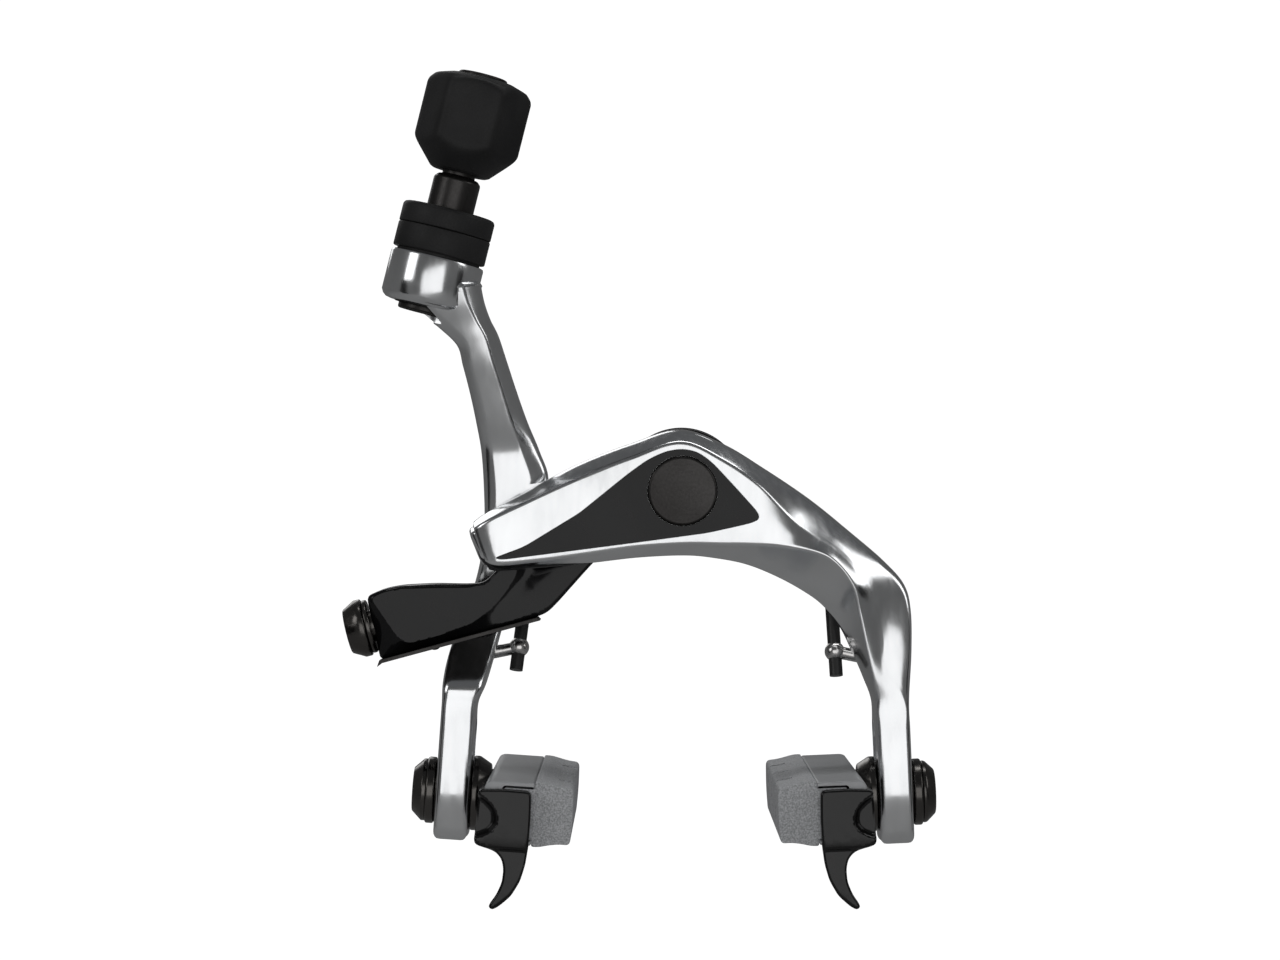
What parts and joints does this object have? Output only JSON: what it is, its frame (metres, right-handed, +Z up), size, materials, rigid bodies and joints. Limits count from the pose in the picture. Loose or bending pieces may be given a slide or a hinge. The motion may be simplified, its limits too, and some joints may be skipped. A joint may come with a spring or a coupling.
{
  "type": "rim brake caliper",
  "caption": "Road bicycle rim brake caliper: two sprung arms on one mounting stud, cam link with cable anchor, barrel adjuster and cartridge pads with wheel guides.",
  "frame": {"origin": "axis of the mounting stud, at the rear face of its seat washer", "axes": "+Z up, -Y the front of the bicycle and the caliper's face, +X to the right seen from the front"},
  "size_m": [0.0928, 0.0759, 0.1285],
  "materials": {
    "polished_alloy": "bright polished forged aluminium, clear over bare metal",
    "black_lacquer": "deep gloss black lacquer over forged aluminium",
    "black_anodised": "black anodised turned aluminium, satin",
    "black_nickel": "black nickel plated steel with a warm reflection",
    "black_grip": "matte black moulded grip, soft to the touch",
    "black_moulding": "glossy black moulded nylon",
    "holder_grey": "satin grey enamel on an aluminium extrusion",
    "pad_compound": "grey brake pad rubber, fine grain",
    "steel": "plain turned stainless steel",
    "spring_steel": "round spring wire, black coating",
    "bearing_polymer": "dark filled bearing polymer",
    "seal_rubber": "black nitrile rubber"
  },
  "bodies": {
    "mount": {"mounting_bolt": "steel", "seat_washer": "black_anodised", "spring_spool": "black_moulding", "rear_thrust_washer": "bearing_polymer", "middle_thrust_washer": "bearing_polymer", "front_thrust_washer": "bearing_polymer", "pivot_nut": "steel", "pivot_cap": "black_anodised", "return_spring": "spring_steel"},
    "front_arm": {"front_arm": "polished_alloy", "front_arm_bushing": "bearing_polymer", "cam_roller_pin": "steel", "right_spring_eye": "steel"},
    "cam_roller": {"cam_roller": "steel"},
    "rear_arm": {"rear_arm": "polished_alloy", "rear_arm_bushing": "bearing_polymer", "left_spring_eye": "steel", "adjuster_base": "black_grip", "adjuster_lock_ring": "black_grip", "adjuster_o_ring": "seal_rubber", "adjuster_clip": "black_anodised", "link_pivot_pin": "steel"},
    "link": {"link_body": "black_lacquer", "link_base_plate": "black_anodised", "cable_anchor_bolt": "black_nickel", "cable_clamp_washer": "black_nickel", "quick_release_pin": "steel"},
    "quick_release": {"quick_release_lever": "black_anodised"},
    "adjuster_carriage": {"housing_ferrule": "black_anodised"},
    "adjuster_screw": {"adjuster_barrel": "black_anodised", "adjuster_knob": "black_grip"},
    "left_pad_seat": {"left_inner_dome_washer": "black_nickel", "left_outer_dome_washer": "black_nickel"},
    "left_pad_swivel": {"left_inner_cup_washer": "black_nickel", "left_outer_cup_washer": "black_nickel"},
    "left_pad": {"left_pad_bolt": "black_nickel", "left_pad_holder": "holder_grey", "left_brake_pad": "pad_compound", "left_pad_screw": "steel", "left_wheel_guide": "black_moulding"},
    "right_pad_seat": {"right_inner_dome_washer": "black_nickel", "right_outer_dome_washer": "black_nickel"},
    "right_pad_swivel": {"right_inner_cup_washer": "black_nickel", "right_outer_cup_washer": "black_nickel"},
    "right_pad": {"right_pad_bolt": "black_nickel", "right_pad_holder": "holder_grey", "right_brake_pad": "pad_compound", "right_pad_screw": "steel", "right_wheel_guide": "black_moulding"}
  },
  "joints": [
    {"name": "front_arm_swing", "type": "hinge", "parent": "mount", "child": "front_arm", "pos_m": [0, 0, 0], "axis": [0, 1, 0], "range_deg": [0, 7], "stiffness_Nm_per_rad": 1, "springref_deg": -20.05, "deforming": ["return_spring"]},
    {"name": "rear_arm_swing", "type": "hinge", "parent": "mount", "child": "rear_arm", "pos_m": [0, 0, 0], "axis": [0, 1, 0], "range_deg": [-7, 0], "stiffness_Nm_per_rad": 1, "springref_deg": 20.05, "deforming": ["return_spring"]},
    {"name": "link_turn", "type": "hinge", "parent": "rear_arm", "child": "link", "pos_m": [-0.0132, 0, -0.0056], "axis": [0, 1, 0], "range_deg": [0, 29.4]},
    {"name": "cam_roller_spin", "type": "hinge", "parent": "front_arm", "child": "cam_roller", "pos_m": [-0.0255, -0.0165, -0.0075], "axis": [0, 1, 0], "continuous": true},
    {"name": "quick_release_turn", "type": "hinge", "parent": "link", "child": "quick_release", "pos_m": [-0.0435, -0.0125, -0.0205], "axis": [0, 1, 0], "range_deg": [0, 90]},
    {"name": "adjuster_travel", "type": "slide", "parent": "rear_arm", "child": "adjuster_carriage", "axis": [0.2426, 0, 0.9701], "range_m": [-0.004, 0.003]},
    {"name": "adjuster_turn", "type": "hinge", "parent": "adjuster_carriage", "child": "adjuster_screw", "pos_m": [-0.0382, -0.0145, 0.0364], "axis": [0.2426, 0, 0.9701], "range_deg": [-1440, 1080]},
    {"name": "left_pad_reach", "type": "slide", "parent": "rear_arm", "child": "left_pad_seat", "axis": [0.0698, 0, 0.9976], "range_m": [-0.0018, 0.0082]},
    {"name": "left_pad_toe_in", "type": "hinge", "parent": "left_pad_seat", "child": "left_pad_swivel", "pos_m": [-0.03575, -0.013, -0.0472], "axis": [0.0698, 0, 0.9976], "range_deg": [-2, 2]},
    {"name": "left_pad_roll", "type": "hinge", "parent": "left_pad_swivel", "child": "left_pad", "pos_m": [-0.03575, -0.013, -0.0472], "axis": [0.9976, 0, -0.0698], "range_deg": [-8, 8]},
    {"name": "right_pad_reach", "type": "slide", "parent": "front_arm", "child": "right_pad_seat", "axis": [-0.0436, 0, 0.999], "range_m": [-0.0018, 0.0082]},
    {"name": "right_pad_toe_in", "type": "hinge", "parent": "right_pad_seat", "child": "right_pad_swivel", "pos_m": [0.0333, -0.013, -0.0474], "axis": [-0.0436, 0, 0.999], "range_deg": [-2, 2]},
    {"name": "right_pad_roll", "type": "hinge", "parent": "right_pad_swivel", "child": "right_pad", "pos_m": [0.0333, -0.013, -0.0474], "axis": [-0.999, 0, -0.0436], "range_deg": [-8, 8]}
  ],
  "couplings": [
    {"joint": "rear_arm_swing", "follows": "front_arm_swing", "ratio": -1},
    {"joint": "link_turn", "follows": "front_arm_swing", "ratio": 4.2},
    {"joint": "adjuster_turn", "follows": "adjuster_travel", "rad_per_m": 6283.2}
  ]
}
